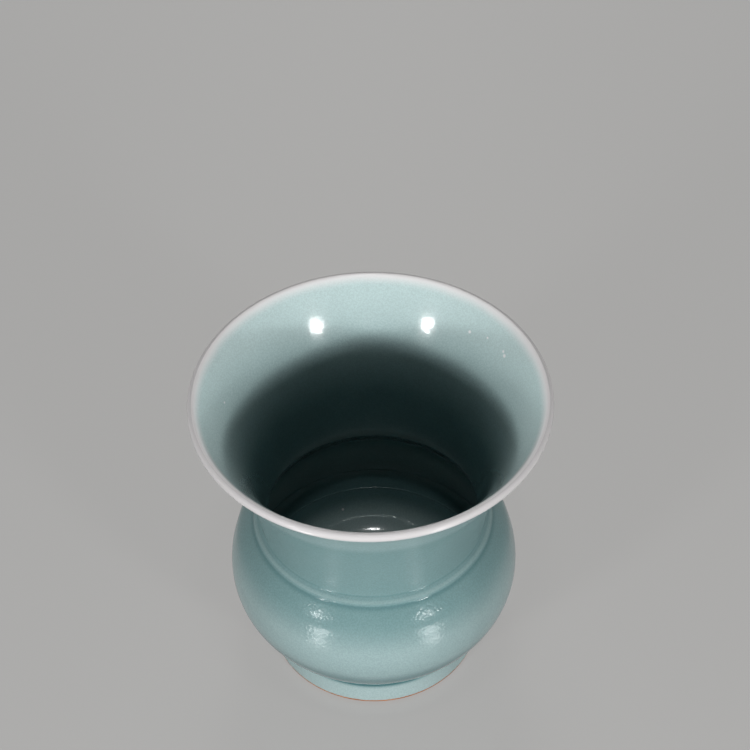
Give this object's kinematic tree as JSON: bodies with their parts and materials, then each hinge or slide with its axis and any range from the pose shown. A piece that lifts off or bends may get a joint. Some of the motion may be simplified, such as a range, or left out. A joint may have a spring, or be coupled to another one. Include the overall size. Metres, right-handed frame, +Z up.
{
  "type": "celadon leys jar",
  "caption": "Celadon leys jar (zhadou): squat round body on a foot ring with a wide trumpet mouth, built as luted thrown clay sections under coats of pale blue-green glaze.",
  "frame": {"origin": "on the floor, under the middle of the foot ring", "axes": "+Z up along the jar's axis of rotation, towards the mouth; X and Y are alike because the jar is round"},
  "size_m": [0.12, 0.12, 0.1193],
  "materials": {
    "stoneware_clay": "matt fired grey-buff stoneware, hidden under the glaze",
    "burnt_foot_clay": "matt bare stoneware, burnt orange-brown at the foot",
    "luting_slip": "matt fired clay slip in the joints",
    "celadon_glaze": "satin-gloss pale blue-green celadon glaze, thin and pinkish white at the lip"
  },
  "bodies": {
    "root": {"foot_ring": "burnt_foot_clay", "foot_slip": "luting_slip", "lower_body": "stoneware_clay", "belly_slip": "luting_slip", "upper_body": "stoneware_clay", "neck_slip": "luting_slip", "trumpet_neck": "stoneware_clay", "outer_glaze": "celadon_glaze", "inner_glaze": "celadon_glaze", "base_glaze": "celadon_glaze"}
  },
  "joints": []
}
